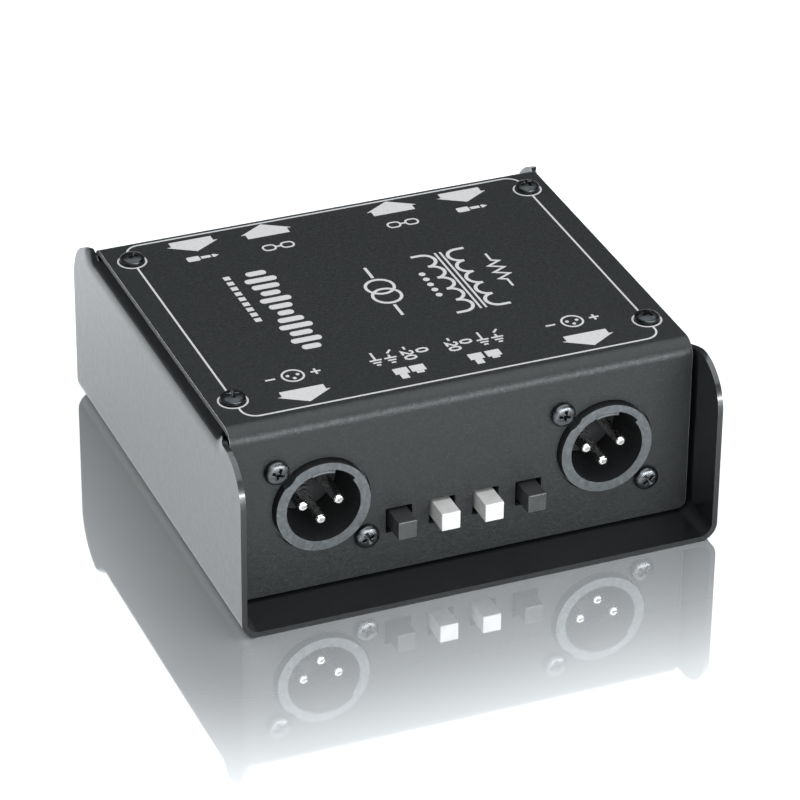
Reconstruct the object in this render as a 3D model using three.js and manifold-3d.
// A passive two-channel direct injection box, in millimetres with +Z up. X runs along the front from left
// to right, Y runs to the back, and the origin is the middle of the underside. A folded steel tray with
// guard ears holds a folded steel cover. The cover carries two three-pin output sockets and four push
// switches in front, four jack sockets behind, and a circuit board with two transformers between them.
import * as THREE from "three";
import { mergeVertices } from "three/addons/utils/BufferGeometryUtils.js";
import Module from "manifold-3d";

const wasm = await Module();
wasm.setup();

// ---------------------------------------------------------------- driving dimensions
const WIDTH = 107.2;
const DEPTH = 106.6;
const HEIGHT = 42.4; // to the cover's top, under the screw heads
const SHEET = 1.2; // thickness of both folded sheets
const BEND = 4; // outer radius of the tray's folds
const COVER_BEND = 3.4;
const SEAT_GAP = 0.1; // between pieces that rest on each other
const FIT_GAP = 0.3; // between a hole and what goes through it

const FRONT_GUARD = 11.4; // how far the tray stands out in front of the front panel
const REAR_GUARD = 9.7;
const FRONT_Y = FRONT_GUARD - DEPTH / 2; // outer face of the front panel
const REAR_Y = DEPTH / 2 - REAR_GUARD; // outer face of the rear panel
const FRONT_EARS = { top: HEIGHT - 1.6, radius: 9.8 }; // the tray's sides stand up past both panels
const REAR_EARS = { top: HEIGHT - 0.6, radius: 11.8 };
const EAR_LAP = 0.4; // how far an ear runs along the fold beside it
const FLANGE_TOP = HEIGHT - SHEET - SEAT_GAP; // the cover rests on two folded-in flanges
const FLANGE_WIDTH = 12.6;
const FLANGE_INSET = 4.2; // keeps the flanges clear of the cover's own folds
const FOLD_INSET = 0.6; // the fold itself runs on outside the cover, nearly to its panels

const COVER_WIDTH = 103.2;
const COVER_LOW = 1.7; // lower edge of the front and rear panels
const COVER_CORNER = 1.8;

const SCREW_X = 46.5;
const SCREW_YS = { front: FRONT_Y + 12.1, rear: FRONT_Y + 75.4 };
const SCREW = { headRadius: 2.9, headHeight: 1.9, shankRadius: 1.5, shankLength: 8 };
const RECESS = { arm: 1.7, halfWidth: 0.45, depth: 1.1 };

const OUTPUT_X = 31.85;
const OUTPUT_Z = 21.45;
const OUTPUT = {
  collarRadius: 10.35,
  collarOut: 1.4, // how far the collar stands out of the panel
  collarRoom: 0.55, // between the collar and its hole in the panel
  boreRadius: 8.15,
  barrelRadius: 10.6,
  depth: 19,
  flange: 26,
  flangeThickness: 2.2,
  bossRadius: 2.9,
  bossLength: 2.5,
  screwOffset: 9.9, // from the socket's axis to each screw, sideways and up or down
};
const KEY = { width: 2.4, height: 0.9 };
const INSERT = { radius: 7.9, front: 11.2, back: 18.5 };
const PIN = { radius: 1.2, circle: 3.96, tip: -0.1, end: 20.4, chamfer: 0.5 };

const BUTTON_XS = [-14.6, -4.9, 4.9, 14.6];
const BUTTON_Z = 13.9;
const BUTTON_CAP = { size: 4.2, out: 5, length: 9, bevel: 0.3, socketDepth: 3 };
const BUTTON_HOLE = 5.9;
const PLUNGER = { size: 2.4, length: 11 };
const SWITCH = { width: 8, height: 8, length: 11, setBack: 7.9, boreDepth: 8 };

const JACK_XS = [-31.85, -14.8, 14.8, 31.85];
const JACK_Z = 18;
const JACK = { bore: 3.3, boreEnd: -22.5, bushing: 4.65, out: 6, width: 15, height: 16, depth: 24 };
const JACK_SLOT = { width: 2.6, front: -23.5, back: -11 }; // under the bore, for the tip contact
const CONTACT = { width: 1.6, thickness: 0.5, tailY: -21.5, bendZ: -5.2 };
const NUT = { acrossFlats: 12.7, thickness: 2.6 };
const WASHER = { radius: 7, thickness: 0.6 };

const BOARD_TOP = BUTTON_Z - SWITCH.height / 2 - SEAT_GAP;
const BOARD = { width: 94, thickness: 1.6, drill: 1.1, front: FRONT_Y + 4.4, rear: REAR_Y - 2.6 };
const TAIL_WIDTH = 1; // square solder tails
const TAIL_END = BOARD_TOP - BOARD.thickness - 0.8;

const CORE = { width: 28, height: 22, stack: 12, rim: 4, leg: 8, lift: 0.8 };
const CORE_X = 22;
const CORE_Y = -2;
const WINDING = { overhang: 5.5, corner: 3, footDepth: 4 };

const RESISTOR_XS = [-5.1, -1.7, 1.7, 5.1];
const RESISTOR_Y = -2;
const RESISTOR = { radius: 1.2, length: 7, pitch: 10, lead: 0.6, lift: 1.5 };
const CAPACITOR_X = 3.8;
const CAPACITOR_Y = 13;
const CAPACITOR = { width: 5.2, length: 7.5, height: 7, pitch: 5, lift: 0.3 };

const FINISHES = {
  glossBlackSteel: { color: 0x16181a, roughness: 0.35, metalness: 0.2 },
  texturedBlackSteel: { color: 0x2b2d2f, roughness: 0.6, metalness: 0.1 },
  darkChrome: { color: 0x6d7073, roughness: 0.25, metalness: 0.9 },
  greyShell: { color: 0x5f6263, roughness: 0.5, metalness: 0.3 },
  blackPlastic: { color: 0x0d0d0e, roughness: 0.5, metalness: 0 },
  blackCap: { color: 0x1b1c1e, roughness: 0.45, metalness: 0 },
  whiteCap: { color: 0xf1f1f0, roughness: 0.4, metalness: 0 },
  contactMetal: { color: 0xd8d6d0, roughness: 0.25, metalness: 1 },
  boardGreen: { color: 0x1d4a2c, roughness: 0.5, metalness: 0 },
  coreSteel: { color: 0x4a4b4d, roughness: 0.55, metalness: 0.7 },
  windingTape: { color: 0xb98d2c, roughness: 0.6, metalness: 0 },
  resistorBlue: { color: 0x5e8bb4, roughness: 0.5, metalness: 0 },
  capacitorRed: { color: 0x8c2420, roughness: 0.45, metalness: 0 },
};

// ---------------------------------------------------------------- solids
const LARGE_ROUND = 36; // facets round a circle
const MIDDLE_ROUND = 20;
const SMALL_ROUND = 12;
const BEND_STEPS = 5;
const MERGE_DISTANCE = 1e-4;
const PAST = 1; // how far a cutting tool runs past the faces it cuts

/** A closed geometry as a manifold-3d solid. */
function toSolid(geometry) {
  const bare = geometry.clone();
  bare.deleteAttribute("normal");
  bare.deleteAttribute("uv");
  const merged = mergeVertices(bare, MERGE_DISTANCE);
  const vertProperties = merged.attributes.position.array;
  const triVerts = new Uint32Array(merged.index.array);
  return new wasm.Manifold(new wasm.Mesh({ numProp: 3, vertProperties, triVerts }));
}

/** A manifold-3d solid as a geometry that three.js can draw. */
function toGeometry(solid) {
  const { vertProperties, triVerts } = solid.getMesh();
  const geometry = new THREE.BufferGeometry();
  geometry.setAttribute("position", new THREE.BufferAttribute(new Float32Array(vertProperties), 3));
  geometry.setIndex(new THREE.BufferAttribute(new Uint32Array(triVerts), 1));
  geometry.computeVertexNormals();
  return geometry;
}

function join(...geometries) {
  return toGeometry(geometries.map(toSolid).reduce((a, b) => a.add(b)));
}

function cut(body, ...tools) {
  return toGeometry(tools.map(toSolid).reduce((a, b) => a.subtract(b), toSolid(body)));
}

function common(a, b) {
  return toGeometry(toSolid(a).intersect(toSolid(b)));
}

// ---------------------------------------------------------------- outlines
/** A rectangle about a centre, with the same radius at each corner. */
function rectangle(u, v, width, height, radius = 0) {
  const shape = new THREE.Shape();
  const [w, h] = [width / 2 - radius, height / 2 - radius];
  if (radius === 0) {
    return shape.moveTo(u - w, v - h).lineTo(u + w, v - h).lineTo(u + w, v + h).lineTo(u - w, v + h);
  }
  shape.absarc(u + w, v - h, radius, -Math.PI / 2, 0);
  shape.absarc(u + w, v + h, radius, 0, Math.PI / 2);
  shape.absarc(u - w, v + h, radius, Math.PI / 2, Math.PI);
  shape.absarc(u - w, v - h, radius, Math.PI, 1.5 * Math.PI);
  return shape;
}

/** A regular polygon, which stands in for a circle when it has many sides. */
function disc(u, v, radius, sides) {
  const points = [];
  for (let i = 0; i < sides; i++) {
    const angle = (2 * Math.PI * i) / sides;
    points.push(new THREE.Vector2(u + radius * Math.cos(angle), v + radius * Math.sin(angle)));
  }
  return new THREE.Shape(points);
}

function withHoles(outline, ...holes) {
  outline.holes.push(...holes);
  return outline;
}

/** A path whose inner corners, all of them right angles, are rounded. */
function roundCorners(points, radius) {
  const path = [points[0]];
  for (let i = 1; i < points.length - 1; i++) {
    const back = points[i - 1].clone().sub(points[i]).normalize();
    const ahead = points[i + 1].clone().sub(points[i]).normalize();
    const centre = points[i].clone().addScaledVector(back, radius).addScaledVector(ahead, radius);
    for (let step = 0; step <= BEND_STEPS; step++) {
      const angle = (Math.PI / 2) * (step / BEND_STEPS);
      const point = centre.clone().addScaledVector(ahead, -radius * Math.cos(angle));
      path.push(point.addScaledVector(back, -radius * Math.sin(angle)));
    }
  }
  path.push(points[points.length - 1]);
  return path;
}

/** A path moved to its left, with its corners kept sharp. */
function offsetLeft(points, distance) {
  const leftOf = (from, to) => new THREE.Vector2(from.y - to.y, to.x - from.x).normalize();
  return points.map((point, i) => {
    const before = leftOf(points[Math.max(i - 1, 0)], points[Math.max(i, 1)]);
    const after = leftOf(points[Math.min(i, points.length - 2)], points[Math.min(i + 1, points.length - 1)]);
    const across = before.add(after);
    return point.clone().addScaledVector(across, (2 * distance) / across.lengthSq());
  });
}

/** The outline of a bent strip: its outer face runs through the corners, and the metal lies to the left. */
function bentStrip(corners, thickness, bend = 0) {
  const outer = corners.map(([u, v]) => new THREE.Vector2(u, v));
  const inner = offsetLeft(outer, thickness);
  if (bend === 0) return new THREE.Shape([...outer, ...inner.reverse()]);
  return new THREE.Shape([...roundCorners(outer, bend), ...roundCorners(inner, bend - thickness).reverse()]);
}

// ---------------------------------------------------------------- prisms and turned pieces
const X_AXIS = new THREE.Vector3(1, 0, 0);
const Y_AXIS = new THREE.Vector3(0, 1, 0);
const Z_AXIS = new THREE.Vector3(0, 0, 1);
const SEEN_FROM_FRONT = new THREE.Matrix4().makeBasis(X_AXIS, Z_AXIS, Y_AXIS.clone().negate());
const SEEN_FROM_SIDE = new THREE.Matrix4().makeBasis(Y_AXIS, Z_AXIS, X_AXIS);

function extrude(outline, depth, curveSegments = 3) {
  return new THREE.ExtrudeGeometry(outline, { depth, bevelEnabled: false, curveSegments });
}

/** An outline in (x, z) made solid from y = near to y = far. */
function frontPrism(outline, near, far, curveSegments) {
  return extrude(outline, far - near, curveSegments).applyMatrix4(SEEN_FROM_FRONT).translate(0, far, 0);
}

/** An outline in (y, z) made solid from x = low to x = high. */
function sidePrism(outline, low, high, curveSegments) {
  return extrude(outline, high - low, curveSegments).applyMatrix4(SEEN_FROM_SIDE).translate(low, 0, 0);
}

/** An outline in (x, y) made solid from z = low to z = high. */
function topPrism(outline, low, high, curveSegments) {
  return extrude(outline, high - low, curveSegments).translate(0, 0, low);
}

/** A box from its [low, high] along each axis. */
function block([x0, x1], [y0, y1], [z0, z1]) {
  const geometry = new THREE.BoxGeometry(x1 - x0, y1 - y0, z1 - z0);
  return geometry.translate((x0 + x1) / 2, (y0 + y1) / 2, (z0 + z1) / 2);
}

/** A profile of [radius, y] pairs turned about the Y axis. */
function turned(profile, sides) {
  return new THREE.LatheGeometry(profile.map(([radius, y]) => new THREE.Vector2(radius, y)), sides);
}

// ---------------------------------------------------------------- casing
const coverScrews = Object.entries(SCREW_YS).flatMap(([row, y]) => [
  { name: `cover_screw_${row}_left`, x: -SCREW_X, y },
  { name: `cover_screw_${row}_right`, x: SCREW_X, y },
]);
const outputs = [
  { name: "output_left", x: -OUTPUT_X },
  { name: "output_right", x: OUTPUT_X },
];

/** Where an output socket's two screws go, measured from its axis: upper left and lower right. */
const OUTPUT_SCREWS = [
  { name: "upper", x: -OUTPUT.screwOffset, z: OUTPUT.screwOffset },
  { name: "lower", x: OUTPUT.screwOffset, z: -OUTPUT.screwOffset },
];

/** A slice of the tray from frontY to rearY, as tall as the ears there, with the tray's ends rounded. */
function ears({ top, radius }, frontY, rearY) {
  const [left, right, back] = [-WIDTH / 2, WIDTH / 2, DEPTH / 2];
  const outline = new THREE.Shape();
  outline.moveTo(-back, -PAST).lineTo(back, -PAST);
  outline.absarc(back - radius, top - radius, radius, 0, Math.PI / 2);
  outline.absarc(radius - back, top - radius, radius, Math.PI / 2, Math.PI);
  const channel = bentStrip([[left, top], [left, 0], [right, 0], [right, top]], SHEET, BEND);
  return common(frontPrism(channel, frontY, rearY), sidePrism(outline, left - PAST, right + PAST, 8));
}

/** The tray: bottom and sides folded from one sheet, with ears at both ends and a flange along each top. */
function tray() {
  const [left, right, back] = [-WIDTH / 2, WIDTH / 2, DEPTH / 2];
  const flanged = bentStrip(
    [
      [left + FLANGE_WIDTH, FLANGE_TOP],
      [left, FLANGE_TOP],
      [left, 0],
      [right, 0],
      [right, FLANGE_TOP],
      [right - FLANGE_WIDTH, FLANGE_TOP],
    ],
    SHEET,
    BEND,
  );
  const foldFront = FRONT_Y + FOLD_INSET;
  const foldRear = REAR_Y - FOLD_INSET;
  const clearX = COVER_WIDTH / 2 + FIT_GAP;
  const clearZ = [FLANGE_TOP - BEND - PAST, HEIGHT];
  const folded = cut(
    frontPrism(flanged, foldFront, foldRear),
    block([-clearX, clearX], [foldFront - PAST, FRONT_Y + FLANGE_INSET], clearZ),
    block([-clearX, clearX], [REAR_Y - FLANGE_INSET, foldRear + PAST], clearZ),
  );
  const body = join(
    ears(FRONT_EARS, -back, foldFront + EAR_LAP),
    folded,
    ears(REAR_EARS, foldRear - EAR_LAP, back),
  );
  const screwHole = ({ x, y }) => disc(x, y, SCREW.shankRadius + FIT_GAP, SMALL_ROUND);
  const holes = coverScrews.map((screw) =>
    topPrism(screwHole(screw), FLANGE_TOP - SHEET - PAST, FLANGE_TOP + PAST),
  );
  return cut(body, ...holes);
}

/** The cover: front panel, top and rear panel folded from one sheet, with every cut-out. */
function cover() {
  const folded = bentStrip(
    [
      [REAR_Y, COVER_LOW],
      [REAR_Y, HEIGHT],
      [FRONT_Y, HEIGHT],
      [FRONT_Y, COVER_LOW],
    ],
    SHEET,
    COVER_BEND,
  );
  const trim = rectangle(0, COVER_LOW + HEIGHT, COVER_WIDTH, 2 * HEIGHT, COVER_CORNER);
  const blank = common(
    sidePrism(folded, -COVER_WIDTH / 2, COVER_WIDTH / 2),
    frontPrism(trim, FRONT_Y - PAST, REAR_Y + PAST),
  );
  const throughFront = (outline) => frontPrism(outline, FRONT_Y - PAST, FRONT_Y + SHEET + PAST);
  const throughRear = (outline) => frontPrism(outline, REAR_Y - SHEET - PAST, REAR_Y + PAST);
  const throughTop = (outline) => topPrism(outline, HEIGHT - SHEET - PAST, HEIGHT + PAST);
  const screwHole = (u, v) => disc(u, v, SCREW.shankRadius + FIT_GAP, SMALL_ROUND);
  const collarHole = (x) => disc(x, OUTPUT_Z, OUTPUT.collarRadius + OUTPUT.collarRoom, LARGE_ROUND);
  const openings = [
    ...outputs.map(({ x }) => throughFront(collarHole(x))),
    ...outputs.flatMap((output) =>
      OUTPUT_SCREWS.map(({ x, z }) => throughFront(screwHole(output.x + x, OUTPUT_Z + z))),
    ),
    ...BUTTON_XS.map((x) => throughFront(rectangle(x, BUTTON_Z, BUTTON_HOLE, BUTTON_HOLE))),
    ...JACK_XS.map((x) => throughRear(disc(x, JACK_Z, JACK.bushing + FIT_GAP, MIDDLE_ROUND))),
    ...coverScrews.map(({ x, y }) => throughTop(screwHole(x, y))),
  ];
  return cut(blank, ...openings);
}

/** A pan-head screw with a cross recess: its seat is at the origin and its head points to -Y. */
function panScrew() {
  const { headRadius, headHeight, shankRadius, shankLength } = SCREW;
  const profile = [
    [0, -headHeight],
    [headRadius * 0.55, -headHeight * 0.94],
    [headRadius * 0.87, -headHeight * 0.7],
    [headRadius, -headHeight * 0.35],
    [headRadius, 0],
    [shankRadius, 0],
    [shankRadius, shankLength - shankRadius / 2],
    [shankRadius / 2, shankLength],
    [0, shankLength],
  ];
  const { arm, halfWidth, depth } = RECESS;
  const recess = [-headHeight - PAST, depth - headHeight];
  const along = block([-arm, arm], recess, [-halfWidth, halfWidth]);
  const across = block([-halfWidth, halfWidth], recess, [-arm, arm]);
  return cut(turned(profile, SMALL_ROUND), along, across);
}

// ---------------------------------------------------------------- output sockets
/** The shell: a collar through the panel, a barrel, and a flange with two screw bosses behind the panel. */
function outputShell() {
  const { collarRadius, collarOut, boreRadius, barrelRadius, depth, flange } = OUTPUT;
  const [seat, bevel] = [SHEET + SEAT_GAP, 0.3];
  const profile = [
    [boreRadius, bevel - collarOut],
    [boreRadius + bevel, -collarOut],
    [collarRadius - bevel, -collarOut],
    [collarRadius, bevel - collarOut],
    [collarRadius, seat],
    [barrelRadius, seat],
    [barrelRadius, depth],
    [boreRadius, depth],
    [boreRadius, bevel - collarOut],
  ];
  const middle = disc(0, 0, (boreRadius + barrelRadius) / 2, LARGE_ROUND);
  const plate = withHoles(rectangle(0, 0, flange, flange, OUTPUT.bossRadius), middle);
  const bosses = OUTPUT_SCREWS.map(({ x, z }) => disc(x, z, OUTPUT.bossRadius, SMALL_ROUND));
  const screwHoles = OUTPUT_SCREWS.map(({ x, z }) => disc(x, z, SCREW.shankRadius + FIT_GAP, SMALL_ROUND));
  const key = block(
    [-KEY.width / 2, KEY.width / 2],
    [0, INSERT.front - FIT_GAP],
    [boreRadius - KEY.height, (boreRadius + collarRadius) / 2],
  );
  const solid = join(
    turned(profile, LARGE_ROUND),
    frontPrism(plate, seat, seat + OUTPUT.flangeThickness),
    ...bosses.map((boss) => frontPrism(boss, seat, seat + OUTPUT.bossLength)),
    key,
  );
  const [holeStart, holeEnd] = [seat - PAST, seat + OUTPUT.bossLength + PAST];
  return cut(solid, ...screwHoles.map((hole) => frontPrism(hole, holeStart, holeEnd)));
}

/** Where a socket's three pins stand, measured from its axis. */
const PIN_PLACES = [
  { x: -PIN.circle, z: 0 },
  { x: PIN.circle, z: 0 },
  { x: 0, z: -PIN.circle },
];

/** The plastic disc that carries the pins. */
function pinCarrier() {
  const holes = PIN_PLACES.map(({ x, z }) => disc(x, z, PIN.radius + FIT_GAP, SMALL_ROUND));
  return frontPrism(withHoles(disc(0, 0, INSERT.radius, LARGE_ROUND), ...holes), INSERT.front, INSERT.back);
}

/** A contact pin on its own axis, with a tail that turns down to the board from a given height. */
function pin(height) {
  const { radius, tip, end, chamfer } = PIN;
  const rod = turned(
    [
      [0, tip],
      [radius - chamfer, tip],
      [radius, tip + chamfer],
      [radius, end],
      [0, end],
    ],
    SMALL_ROUND,
  );
  const tail = block([-TAIL_WIDTH / 2, TAIL_WIDTH / 2], [end - TAIL_WIDTH, end], [TAIL_END - height, 0]);
  return join(rod, tail);
}

// ---------------------------------------------------------------- push switches
/** A square button cap with bevelled edges and a socket behind for its plunger. */
function buttonCap() {
  const { size, out, length, bevel, socketDepth } = BUTTON_CAP;
  const body = new THREE.ExtrudeGeometry(rectangle(0, 0, size, size, bevel), {
    depth: length - 2 * bevel,
    bevelThickness: bevel,
    bevelSize: bevel,
    bevelOffset: -bevel,
    bevelSegments: 1,
    curveSegments: 1,
  });
  body.applyMatrix4(SEEN_FROM_FRONT).translate(0, length - out - bevel, 0);
  const back = length - out;
  const socket = rectangle(0, 0, PLUNGER.size + FIT_GAP, PLUNGER.size + FIT_GAP);
  return cut(body, frontPrism(socket, back - socketDepth, back + PAST));
}

/** The square rod that a cap pushes into its switch. */
function plunger() {
  const start = BUTTON_CAP.length - BUTTON_CAP.out - BUTTON_CAP.socketDepth + SEAT_GAP;
  return frontPrism(rectangle(0, 0, PLUNGER.size, PLUNGER.size), start, start + PLUNGER.length);
}

/** A switch housing with a square way for the plunger. */
function switchBody() {
  const { width, height, length, setBack, boreDepth } = SWITCH;
  const way = rectangle(0, 0, PLUNGER.size + 2 * FIT_GAP, PLUNGER.size + 2 * FIT_GAP);
  return cut(
    frontPrism(rectangle(0, 0, width, height, 0.5), setBack, setBack + length, 1),
    frontPrism(way, setBack - PAST, setBack + boreDepth),
  );
}

// ---------------------------------------------------------------- jack sockets
/** A jack housing with a round bushing through the panel, its bore, and a slot below for the contact. */
function jackBody() {
  const { bore, boreEnd, bushing, out, width, height, depth } = JACK;
  const seat = -SHEET - SEAT_GAP;
  const { width: slotWidth, front, back } = JACK_SLOT;
  return cut(
    join(
      frontPrism(rectangle(0, 0, width, height, 0.8), seat - depth, seat, 1),
      frontPrism(disc(0, 0, bushing, MIDDLE_ROUND), seat - PAST, out),
    ),
    frontPrism(disc(0, 0, bore, MIDDLE_ROUND), boreEnd, out + PAST),
    block([-slotWidth / 2, slotWidth / 2], [front, back], [-height / 2 - PAST, -bore / 2]),
  );
}

/** The leaf that touches a plug's tip, with its solder tail. */
function tipContact() {
  const { width, thickness, tailY, bendZ } = CONTACT;
  const leaf = bentStrip(
    [
      [tailY + 9, bendZ + 0.6],
      [tailY + 3.5, bendZ + 2.5],
      [tailY, bendZ],
      [tailY, TAIL_END - JACK_Z],
    ],
    thickness,
  );
  return sidePrism(leaf, -width / 2, width / 2);
}

function ring(outline, hole, near, far) {
  return frontPrism(withHoles(outline, disc(0, 0, hole, MIDDLE_ROUND)), near, far);
}

const RING_HOLE = JACK.bushing + FIT_GAP / 2;

function washer() {
  const outline = disc(0, 0, WASHER.radius, MIDDLE_ROUND);
  return ring(outline, RING_HOLE, SEAT_GAP, SEAT_GAP + WASHER.thickness);
}

function nut() {
  const outline = disc(0, 0, NUT.acrossFlats / Math.sqrt(3), 6);
  const near = 2 * SEAT_GAP + WASHER.thickness;
  return ring(outline, RING_HOLE, near, near + NUT.thickness);
}

// ---------------------------------------------------------------- circuit board
/** The laminated core: an outer frame with a leg down the middle, seen from the front. */
function transformerCore() {
  const { width, height, stack, rim, leg } = CORE;
  const windowWidth = (width - 2 * rim - leg) / 2;
  const windows = [-1, 1].map((side) =>
    rectangle((side * (leg + windowWidth)) / 2, 0, windowWidth, height - 2 * rim),
  );
  return cut(
    frontPrism(rectangle(0, 0, width, height), -stack / 2, stack / 2),
    ...windows.map((window) => frontPrism(window, -stack / 2 - PAST, stack / 2 + PAST)),
  );
}

/** The winding on its former: a taped block round the core's middle leg, on two feet. */
function transformerWinding() {
  const { width, height, stack, rim, leg, lift } = CORE;
  const halfHeight = height / 2 - rim - FIT_GAP;
  const halfWidth = width / 2 - rim - FIT_GAP;
  const halfDepth = stack / 2 + WINDING.overhang;
  const outline = rectangle(0, 0, 2 * halfWidth, 2 * halfDepth, WINDING.corner);
  const legHole = rectangle(0, 0, leg + 2 * FIT_GAP, stack + 2 * FIT_GAP);
  const foot = ([near, far]) =>
    block([-halfWidth + WINDING.corner, halfWidth - WINDING.corner], [near, far], [
      SEAT_GAP - lift - height / 2,
      -halfHeight + PAST,
    ]);
  return join(
    topPrism(withHoles(outline, legHole), -halfHeight, halfHeight),
    foot([-halfDepth, WINDING.footDepth - halfDepth]),
    foot([halfDepth - WINDING.footDepth, halfDepth]),
  );
}

/** A resistor along Y on its own axis, with both leads bent down to the board. */
function resistor() {
  const { radius, length, pitch, lead, lift } = RESISTOR;
  const half = length / 2;
  const body = turned(
    [
      [0, -half],
      [radius, -half],
      [radius, -half + 1.5],
      [radius * 0.85, -half + 2],
      [radius * 0.85, half - 2],
      [radius, half - 1.5],
      [radius, half],
      [0, half],
    ],
    SMALL_ROUND,
  );
  const [end, low] = [(pitch + lead) / 2, TAIL_END - BOARD_TOP - lift];
  const staple = bentStrip([[end, low], [end, lead / 2], [-end, lead / 2], [-end, low]], lead);
  return join(body, sidePrism(staple, -lead / 2, lead / 2));
}

/** A film capacitor standing on two leads. */
function capacitor() {
  const { width, length, height, pitch, lift } = CAPACITOR;
  const leads = [-pitch / 2, pitch / 2].map((y) =>
    block(
      [-TAIL_WIDTH / 2, TAIL_WIDTH / 2],
      [y - TAIL_WIDTH / 2, y + TAIL_WIDTH / 2],
      [TAIL_END - BOARD_TOP, lift + PAST],
    ),
  );
  return join(topPrism(rectangle(0, 0, width, length, 0.6), lift, lift + height), ...leads);
}

/** The places where solder tails go through the board. */
function drillPlaces() {
  const places = [];
  for (const output of outputs) {
    for (const { x } of PIN_PLACES) {
      places.push([output.x + x, FRONT_Y + PIN.end - TAIL_WIDTH / 2]);
    }
  }
  for (const x of JACK_XS) {
    places.push([x, REAR_Y + CONTACT.tailY + CONTACT.thickness / 2]);
  }
  for (const end of [-1, 1]) {
    for (const x of RESISTOR_XS) {
      places.push([x, RESISTOR_Y + (end * RESISTOR.pitch) / 2]);
    }
    for (const x of [-CAPACITOR_X, CAPACITOR_X]) {
      places.push([x, CAPACITOR_Y + (end * CAPACITOR.pitch) / 2]);
    }
  }
  return places;
}

function circuitBoard() {
  const outline = rectangle(0, (BOARD.front + BOARD.rear) / 2, BOARD.width, BOARD.rear - BOARD.front, 2);
  const holes = drillPlaces().map(([x, y]) => disc(x, y, BOARD.drill, 8));
  return topPrism(withHoles(outline, ...holes), BOARD_TOP - BOARD.thickness, BOARD_TOP);
}

// ---------------------------------------------------------------- assembly
const directBox = new THREE.Group();

/** Adds a named piece, moved to its place. */
function place(name, geometry, finish, position = [0, 0, 0]) {
  const mesh = new THREE.Mesh(geometry, new THREE.MeshStandardMaterial(FINISHES[finish]));
  mesh.name = name;
  mesh.position.set(...position);
  directBox.add(mesh);
  return mesh;
}

place("chassis", tray(), "glossBlackSteel");
place("cover", cover(), "texturedBlackSteel");
for (const { name, x, y } of coverScrews) {
  place(name, panScrew(), "darkChrome", [x, y, HEIGHT + SEAT_GAP]).rotation.x = -Math.PI / 2;
}

for (const output of outputs) {
  place(`${output.name}_shell`, outputShell(), "greyShell", [output.x, FRONT_Y, OUTPUT_Z]);
  place(`${output.name}_insert`, pinCarrier(), "blackPlastic", [output.x, FRONT_Y, OUTPUT_Z]);
  PIN_PLACES.forEach(({ x, z }, i) => {
    const height = OUTPUT_Z + z;
    place(`${output.name}_pin_${i + 1}`, pin(height), "contactMetal", [output.x + x, FRONT_Y, height]);
  });
  for (const { name, x, z } of OUTPUT_SCREWS) {
    const seat = [output.x + x, FRONT_Y - SEAT_GAP, OUTPUT_Z + z];
    place(`${output.name}_screw_${name}`, panScrew(), "darkChrome", seat);
  }
}

BUTTON_XS.forEach((x, i) => {
  const isOuter = i === 0 || i === BUTTON_XS.length - 1;
  const middle = [x, FRONT_Y, BUTTON_Z];
  place(`button_cap_${i + 1}`, buttonCap(), isOuter ? "blackCap" : "whiteCap", middle);
  place(`button_plunger_${i + 1}`, plunger(), "blackPlastic", middle);
  place(`switch_body_${i + 1}`, switchBody(), "blackPlastic", middle);
});

JACK_XS.forEach((x, i) => {
  const middle = [x, REAR_Y, JACK_Z];
  place(`jack_body_${i + 1}`, jackBody(), "blackPlastic", middle);
  place(`jack_contact_${i + 1}`, tipContact(), "contactMetal", middle);
  place(`jack_washer_${i + 1}`, washer(), "contactMetal", middle);
  place(`jack_nut_${i + 1}`, nut(), "contactMetal", middle);
});

place("circuit_board", circuitBoard(), "boardGreen");
for (const [side, x] of [["left", -CORE_X], ["right", CORE_X]]) {
  const middle = [x, CORE_Y, BOARD_TOP + CORE.lift + CORE.height / 2];
  place(`transformer_core_${side}`, transformerCore(), "coreSteel", middle);
  place(`transformer_winding_${side}`, transformerWinding(), "windingTape", middle);
}
RESISTOR_XS.forEach((x, i) => {
  place(`resistor_${i + 1}`, resistor(), "resistorBlue", [x, RESISTOR_Y, BOARD_TOP + RESISTOR.lift]);
});
[-CAPACITOR_X, CAPACITOR_X].forEach((x, i) => {
  place(`capacitor_${i + 1}`, capacitor(), "capacitorRed", [x, CAPACITOR_Y, BOARD_TOP]);
});

export default directBox;
